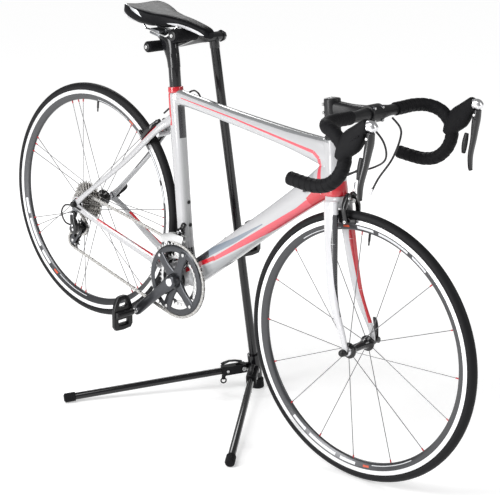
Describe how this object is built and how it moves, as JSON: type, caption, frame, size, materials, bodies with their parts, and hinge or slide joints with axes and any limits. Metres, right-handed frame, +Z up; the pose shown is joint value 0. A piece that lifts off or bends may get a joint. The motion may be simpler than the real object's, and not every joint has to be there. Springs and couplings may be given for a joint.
{
  "type": "bicycle on stand",
  "caption": "Drop-bar road bicycle hung by its saddle, nose down, on two padded arms at the head of a leaning mast with folding legs.",
  "frame": {"origin": "centre of the box's base, on the floor", "axes": "+X towards the bicycle's front, +Y to its left, where the mast stands, +Z up"},
  "size_m": [1.6256, 0.5278, 1.121],
  "materials": {
    "black_foam": "matte foam",
    "black_leather": "smooth",
    "black_plastic": "satin",
    "black_rubber": "matte",
    "dark_grey_anodised": "anodised dark grey",
    "gloss_black": "gloss",
    "machined_aluminium": "machined",
    "polished_steel": "polished",
    "red_lacquer": "gloss",
    "white_lacquer": "gloss"
  },
  "bodies": {
    "stand": {"mast_tube": "gloss_black", "mast_foot": "black_rubber", "mast_head": "gloss_black", "support_fork": "gloss_black", "front_pad": "black_foam", "rear_pad": "black_foam", "leg_hub": "gloss_black"},
    "rear_leg": {"rear_leg_bracket": "black_plastic", "rear_leg_tube": "gloss_black", "rear_leg_foot": "black_rubber"},
    "front_leg": {"front_leg_bracket": "black_plastic", "front_leg_tube": "gloss_black", "front_leg_foot": "black_rubber"},
    "rear_latch": {"rear_leg_latch": "black_plastic"},
    "front_latch": {"front_leg_latch": "black_plastic"},
    "bike": {"head_tube": "white_lacquer", "top_tube": "white_lacquer", "down_tube": "white_lacquer", "seat_tube": "white_lacquer", "seat_collar": "red_lacquer", "left_stays": "white_lacquer", "right_stays": "white_lacquer", "front_derailleur": "polished_steel", "rear_derailleur": "gloss_black", "derailleur_cage": "dark_grey_anodised", "chain": "polished_steel"},
    "saddle": {"saddle": "black_leather", "saddle_rails": "polished_steel", "seatpost": "gloss_black"},
    "steering": {"fork": "white_lacquer", "stem": "gloss_black", "handlebar": "black_plastic", "left_hood": "black_rubber", "right_hood": "black_rubber", "front_brake_cable": "black_plastic", "rear_brake_cable": "black_plastic", "gear_cable": "black_plastic"},
    "front_wheel": {"front_tyre": "black_rubber", "front_rim": "machined_aluminium", "front_hub": "gloss_black"},
    "rear_wheel": {"rear_tyre": "black_rubber", "rear_rim": "machined_aluminium", "rear_hub": "gloss_black"},
    "cassette": {"cassette": "polished_steel"},
    "cranks": {"right_crank": "dark_grey_anodised", "left_crank": "dark_grey_anodised"},
    "right_pedal": {"right_pedal": "black_plastic"},
    "left_pedal": {"left_pedal": "black_plastic"},
    "guide_pulley": {"guide_pulley": "black_plastic"},
    "tension_pulley": {"tension_pulley": "black_plastic"},
    "front_qr": {"front_qr_lever": "gloss_black"},
    "rear_qr": {"rear_qr_lever": "gloss_black"},
    "right_lever": {"right_brake_lever": "gloss_black"},
    "right_paddle": {"right_shift_paddle": "black_plastic"},
    "left_lever": {"left_brake_lever": "gloss_black"},
    "left_paddle": {"left_shift_paddle": "black_plastic"},
    "front_arm_right": {"front_caliper_right": "gloss_black"},
    "front_arm_left": {"front_caliper_left": "gloss_black"},
    "rear_arm_right": {"rear_caliper_right": "gloss_black"},
    "rear_arm_left": {"rear_caliper_left": "gloss_black"}
  },
  "joints": [
    {"name": "rear_leg_fold", "type": "hinge", "parent": "stand", "child": "rear_leg", "pos_m": [-0.12499, 0.20542, 0.066], "axis": [-0.8141, 0.5807, 0], "range_deg": [0, 25]},
    {"name": "rear_latch_press", "type": "hinge", "parent": "rear_leg", "child": "rear_latch", "pos_m": [-0.12839, 0.20065, 0.084], "axis": [-0.8141, 0.5807, 0], "range_deg": [0, 8], "stiffness_Nm_per_rad": 0.6},
    {"name": "front_leg_fold", "type": "hinge", "parent": "stand", "child": "front_leg", "pos_m": [-0.0855, 0.20542, 0.066], "axis": [-0.8141, -0.5807, 0], "range_deg": [0, 30]},
    {"name": "front_latch_press", "type": "hinge", "parent": "front_leg", "child": "front_latch", "pos_m": [-0.0821, 0.20065, 0.084], "axis": [-0.8141, -0.5807, 0], "range_deg": [0, 8], "stiffness_Nm_per_rad": 0.6},
    {"name": "lift_off", "type": "slide", "parent": "stand", "child": "bike", "axis": [0, -1, 0], "range_m": [0, 0.25]},
    {"name": "saddle_height", "type": "slide", "parent": "bike", "child": "saddle", "axis": [-0.0793, 0, 0.9968], "range_m": [0, 0.05]},
    {"name": "steer", "type": "hinge", "parent": "bike", "child": "steering", "pos_m": [0.40396, -0.0406, 0.70015], "axis": [-0.0776, 0, 0.997], "range_deg": [-50, 50], "deforming": ["front_brake_cable", "rear_brake_cable", "gear_cable"]},
    {"name": "front_wheel_spin", "type": "hinge", "parent": "steering", "child": "front_wheel", "pos_m": [0.47732, -0.0406, 0.3375], "axis": [0, 1, 0], "continuous": true},
    {"name": "rear_wheel_spin", "type": "hinge", "parent": "bike", "child": "rear_wheel", "pos_m": [-0.47732, -0.0406, 0.55001], "axis": [0, 1, 0], "continuous": true},
    {"name": "pedalling", "type": "hinge", "parent": "bike", "child": "cranks", "pos_m": [-0.10002, -0.0406, 0.39738], "axis": [0, 1, 0], "continuous": true, "deforming": ["chain"]},
    {"name": "cassette_spin", "type": "hinge", "parent": "bike", "child": "cassette", "pos_m": [-0.47732, -0.0406, 0.55001], "axis": [0, 1, 0], "continuous": true},
    {"name": "right_pedal_spin", "type": "hinge", "parent": "cranks", "child": "right_pedal", "pos_m": [-0.2326, -0.1134, 0.29097], "axis": [0, 1, 0], "continuous": true},
    {"name": "left_pedal_spin", "type": "hinge", "parent": "cranks", "child": "left_pedal", "pos_m": [0.03256, 0.0322, 0.50379], "axis": [0, 1, 0], "continuous": true},
    {"name": "guide_pulley_spin", "type": "hinge", "parent": "bike", "child": "guide_pulley", "pos_m": [-0.47886, -0.0856, 0.47864], "axis": [0, 1, 0], "continuous": true},
    {"name": "tension_pulley_spin", "type": "hinge", "parent": "bike", "child": "tension_pulley", "pos_m": [-0.51532, -0.0856, 0.43451], "axis": [0, 1, 0], "continuous": true},
    {"name": "front_qr_open", "type": "hinge", "parent": "steering", "child": "front_qr", "pos_m": [0.47732, 0.0311, 0.3375], "axis": [-0.9904, 0, -0.138], "range_deg": [0, 120]},
    {"name": "rear_qr_open", "type": "hinge", "parent": "bike", "child": "rear_qr", "pos_m": [-0.47732, 0.0461, 0.55001], "axis": [-0.6313, 0, 0.7755], "range_deg": [0, 120]},
    {"name": "right_brake", "type": "hinge", "parent": "steering", "child": "right_lever", "pos_m": [0.65332, -0.2466, 0.89849], "axis": [0, 1, 0], "range_deg": [0, 10], "stiffness_Nm_per_rad": 0.8},
    {"name": "right_shift", "type": "hinge", "parent": "right_lever", "child": "right_paddle", "pos_m": [0.63226, -0.2436, 0.8499], "axis": [0.9761, 0, -0.2173], "range_deg": [0, 6], "stiffness_Nm_per_rad": 0.2},
    {"name": "left_brake", "type": "hinge", "parent": "steering", "child": "left_lever", "pos_m": [0.65332, 0.1654, 0.89849], "axis": [0, 1, 0], "range_deg": [0, 10], "stiffness_Nm_per_rad": 0.8},
    {"name": "left_shift", "type": "hinge", "parent": "left_lever", "child": "left_paddle", "pos_m": [0.63226, 0.1624, 0.8499], "axis": [-0.9761, 0, 0.2173], "range_deg": [0, 6], "stiffness_Nm_per_rad": 0.2},
    {"name": "front_pad_right", "type": "hinge", "parent": "steering", "child": "front_arm_right", "pos_m": [0.44645, -0.0406, 0.69544], "axis": [0.997, 0, 0.0776], "range_deg": [0, 1.4], "stiffness_Nm_per_rad": 0.4},
    {"name": "front_pad_left", "type": "hinge", "parent": "steering", "child": "front_arm_left", "pos_m": [0.44645, -0.0406, 0.69544], "axis": [-0.997, 0, -0.0776], "range_deg": [0, 1.4], "stiffness_Nm_per_rad": 0.4},
    {"name": "rear_pad_right", "type": "hinge", "parent": "bike", "child": "rear_arm_right", "pos_m": [-0.20422, -0.0406, 0.80169], "axis": [0.6118, 0, -0.791], "range_deg": [0, 1.4], "stiffness_Nm_per_rad": 0.4},
    {"name": "rear_pad_left", "type": "hinge", "parent": "bike", "child": "rear_arm_left", "pos_m": [-0.20422, -0.0406, 0.80169], "axis": [-0.6118, 0, 0.791], "range_deg": [0, 1.4], "stiffness_Nm_per_rad": 0.4}
  ],
  "couplings": [
    {"joint": "cassette_spin", "follows": "pedalling", "ratio": 3.3333},
    {"joint": "guide_pulley_spin", "follows": "pedalling", "ratio": -4.5454},
    {"joint": "tension_pulley_spin", "follows": "pedalling", "ratio": 4.5454},
    {"joint": "front_pad_right", "follows": "left_brake", "ratio": 0.13},
    {"joint": "front_pad_left", "follows": "left_brake", "ratio": 0.13},
    {"joint": "rear_pad_right", "follows": "right_brake", "ratio": 0.13},
    {"joint": "rear_pad_left", "follows": "right_brake", "ratio": 0.13}
  ]
}
